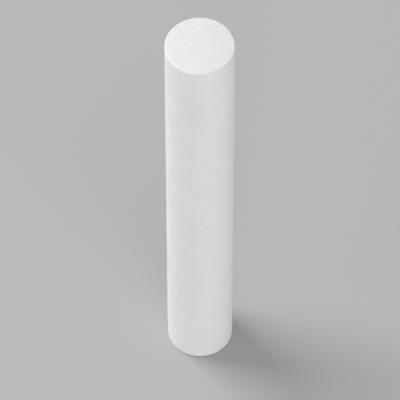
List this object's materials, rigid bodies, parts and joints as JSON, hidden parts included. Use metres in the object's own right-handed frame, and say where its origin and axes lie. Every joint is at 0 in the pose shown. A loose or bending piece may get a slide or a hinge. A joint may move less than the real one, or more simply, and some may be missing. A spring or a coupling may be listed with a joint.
{
  "type": "chalk stick",
  "caption": "Straight round stick of white blackboard chalk with a flat foot, rounded rims and a barely crowned writing end, for the hand or a chalk holder",
  "frame": {"origin": "centre of the flat foot that the stick stands on", "axes": "+Z along the stick's axis, from the foot to the crowned writing end; X and Y are free because the stick is round"},
  "size_m": [0.01, 0.01, 0.075],
  "materials": {
    "chalk": "matte"
  },
  "bodies": {
    "root": {"chalk_stick": "chalk"}
  },
  "joints": []
}
